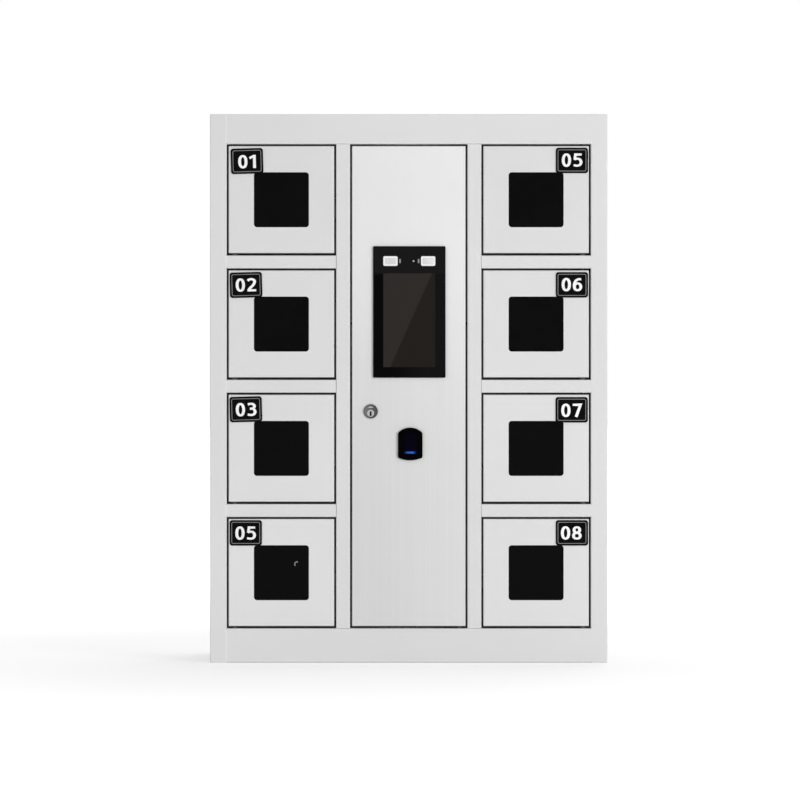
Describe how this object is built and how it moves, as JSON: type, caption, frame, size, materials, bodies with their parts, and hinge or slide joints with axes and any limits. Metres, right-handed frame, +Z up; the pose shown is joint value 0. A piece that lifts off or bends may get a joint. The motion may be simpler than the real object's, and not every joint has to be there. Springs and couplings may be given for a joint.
{
  "type": "phone locker cabinet",
  "caption": "Sheet steel locker cabinet for phones: small windowed doors with electric locks beside a tall service door with a face terminal, fingerprint reader and cam lock.",
  "frame": {"origin": "middle of the base, halfway from front to back", "axes": "+X to the right seen from the front, +Y from the doors to the wall, +Z up"},
  "size_m": [0.5, 0.203, 0.69],
  "materials": {
    "cabinet_paint": "fine satin powder coat, light grey",
    "door_paint": "fine satin powder coat, light grey",
    "pin_steel": "bright zinc plate",
    "lock_case_zinc": "pressed steel, zinc plated",
    "wire_sleeve": "black sleeve",
    "circuit_board": "green board with black relays",
    "supply_case": "satin, perforated lid",
    "black_rubber": "matt",
    "terminal_plastic": "black, fine grain",
    "terminal_glass": "black glass, polished",
    "screen": "dark screen, polished",
    "lamp_white": "white diffuser",
    "sensor_grey": "polished",
    "bracket_zinc": "zinc plated",
    "reader_plastic": "gloss black",
    "reader_glass": "polished",
    "lamp_blue": "lit blue diffuser",
    "lock_chrome": "polished",
    "plug_steel": "turned",
    "smoked_acrylic": "smoked, polished",
    "tag_black": "black laminate",
    "hook_zinc": "yellow zinc plate"
  },
  "bodies": {
    "cabinet": {"side_left": "cabinet_paint", "side_right": "cabinet_paint", "top_panel": "cabinet_paint", "bottom_panel": "cabinet_paint", "back_panel": "cabinet_paint", "divider_left": "cabinet_paint", "divider_right": "cabinet_paint", "shelves_left": "cabinet_paint", "shelves_right": "cabinet_paint", "hinge_pins": "pin_steel", "lock_bodies": "lock_case_zinc", "wiring_loom": "wire_sleeve", "control_board": "circuit_board", "power_supply": "supply_case", "cable_grommet": "black_rubber"},
    "centre_door": {"centre_door": "door_paint", "terminal_housing": "terminal_plastic", "terminal_glass": "terminal_glass", "terminal_display": "screen", "terminal_lights": "lamp_white", "terminal_cameras": "sensor_grey", "terminal_bracket": "bracket_zinc", "fingerprint_housing": "reader_plastic", "fingerprint_sensor": "reader_glass", "fingerprint_light": "lamp_blue", "lock_barrel": "lock_chrome"},
    "lock_plug": {"lock_plug": "plug_steel"},
    "door_1": {"door_1": "door_paint", "window_1": "smoked_acrylic", "tag_1": "tag_black"},
    "door_2": {"door_2": "door_paint", "window_2": "smoked_acrylic", "tag_2": "tag_black"},
    "door_3": {"door_3": "door_paint", "window_3": "smoked_acrylic", "tag_3": "tag_black"},
    "door_4": {"door_4": "door_paint", "window_4": "smoked_acrylic", "tag_4": "tag_black"},
    "door_5": {"door_5": "door_paint", "window_5": "smoked_acrylic", "tag_5": "tag_black"},
    "door_6": {"door_6": "door_paint", "window_6": "smoked_acrylic", "tag_6": "tag_black"},
    "door_7": {"door_7": "door_paint", "window_7": "smoked_acrylic", "tag_7": "tag_black"},
    "door_8": {"door_8": "door_paint", "window_8": "smoked_acrylic", "tag_8": "tag_black"},
    "latch_1": {"latch_1": "hook_zinc"},
    "latch_2": {"latch_2": "hook_zinc"},
    "latch_3": {"latch_3": "hook_zinc"},
    "latch_4": {"latch_4": "hook_zinc"},
    "latch_5": {"latch_5": "hook_zinc"},
    "latch_6": {"latch_6": "hook_zinc"},
    "latch_7": {"latch_7": "hook_zinc"},
    "latch_8": {"latch_8": "hook_zinc"}
  },
  "joints": [
    {"name": "door_1_hinge", "type": "hinge", "parent": "cabinet", "child": "door_1", "pos_m": [-0.219, -0.095, 0.5822], "axis": [0, 0, -1], "range_deg": [0, 110]},
    {"name": "door_2_hinge", "type": "hinge", "parent": "cabinet", "child": "door_2", "pos_m": [-0.219, -0.095, 0.4258], "axis": [0, 0, -1], "range_deg": [0, 110]},
    {"name": "door_3_hinge", "type": "hinge", "parent": "cabinet", "child": "door_3", "pos_m": [-0.219, -0.095, 0.2694], "axis": [0, 0, -1], "range_deg": [0, 110]},
    {"name": "door_4_hinge", "type": "hinge", "parent": "cabinet", "child": "door_4", "pos_m": [-0.219, -0.095, 0.113], "axis": [0, 0, -1], "range_deg": [0, 110]},
    {"name": "door_5_hinge", "type": "hinge", "parent": "cabinet", "child": "door_5", "pos_m": [0.219, -0.095, 0.5822], "axis": [0, 0, 1], "range_deg": [0, 110]},
    {"name": "door_6_hinge", "type": "hinge", "parent": "cabinet", "child": "door_6", "pos_m": [0.219, -0.095, 0.4258], "axis": [0, 0, 1], "range_deg": [0, 110]},
    {"name": "door_7_hinge", "type": "hinge", "parent": "cabinet", "child": "door_7", "pos_m": [0.219, -0.095, 0.2694], "axis": [0, 0, 1], "range_deg": [0, 110]},
    {"name": "door_8_hinge", "type": "hinge", "parent": "cabinet", "child": "door_8", "pos_m": [0.219, -0.095, 0.113], "axis": [0, 0, 1], "range_deg": [0, 110]},
    {"name": "latch_1_hook", "type": "hinge", "parent": "cabinet", "child": "latch_1", "pos_m": [-0.1, -0.054, 0.5852], "axis": [1, 0, 0], "range_deg": [0, 20], "stiffness_Nm_per_rad": 0.02, "springref_deg": -17.19},
    {"name": "latch_2_hook", "type": "hinge", "parent": "cabinet", "child": "latch_2", "pos_m": [-0.1, -0.054, 0.4288], "axis": [1, 0, 0], "range_deg": [0, 20], "stiffness_Nm_per_rad": 0.02, "springref_deg": -17.19},
    {"name": "latch_3_hook", "type": "hinge", "parent": "cabinet", "child": "latch_3", "pos_m": [-0.1, -0.054, 0.2724], "axis": [1, 0, 0], "range_deg": [0, 20], "stiffness_Nm_per_rad": 0.02, "springref_deg": -17.19},
    {"name": "latch_4_hook", "type": "hinge", "parent": "cabinet", "child": "latch_4", "pos_m": [-0.1, -0.054, 0.116], "axis": [1, 0, 0], "range_deg": [0, 20], "stiffness_Nm_per_rad": 0.02, "springref_deg": -17.19},
    {"name": "latch_5_hook", "type": "hinge", "parent": "cabinet", "child": "latch_5", "pos_m": [0.1, -0.054, 0.5852], "axis": [1, 0, 0], "range_deg": [0, 20], "stiffness_Nm_per_rad": 0.02, "springref_deg": -17.19},
    {"name": "latch_6_hook", "type": "hinge", "parent": "cabinet", "child": "latch_6", "pos_m": [0.1, -0.054, 0.4288], "axis": [1, 0, 0], "range_deg": [0, 20], "stiffness_Nm_per_rad": 0.02, "springref_deg": -17.19},
    {"name": "latch_7_hook", "type": "hinge", "parent": "cabinet", "child": "latch_7", "pos_m": [0.1, -0.054, 0.2724], "axis": [1, 0, 0], "range_deg": [0, 20], "stiffness_Nm_per_rad": 0.02, "springref_deg": -17.19},
    {"name": "latch_8_hook", "type": "hinge", "parent": "cabinet", "child": "latch_8", "pos_m": [0.1, -0.054, 0.116], "axis": [1, 0, 0], "range_deg": [0, 20], "stiffness_Nm_per_rad": 0.02, "springref_deg": -17.19},
    {"name": "centre_door_hinge", "type": "hinge", "parent": "cabinet", "child": "centre_door", "pos_m": [0.0638, -0.095, 0.345], "axis": [0, 0, 1], "range_deg": [0, 100]},
    {"name": "cam_lock_turn", "type": "hinge", "parent": "centre_door", "child": "lock_plug", "pos_m": [-0.0479, -0.1, 0.3137], "axis": [0, 1, 0], "range_deg": [0, 90]}
  ]
}
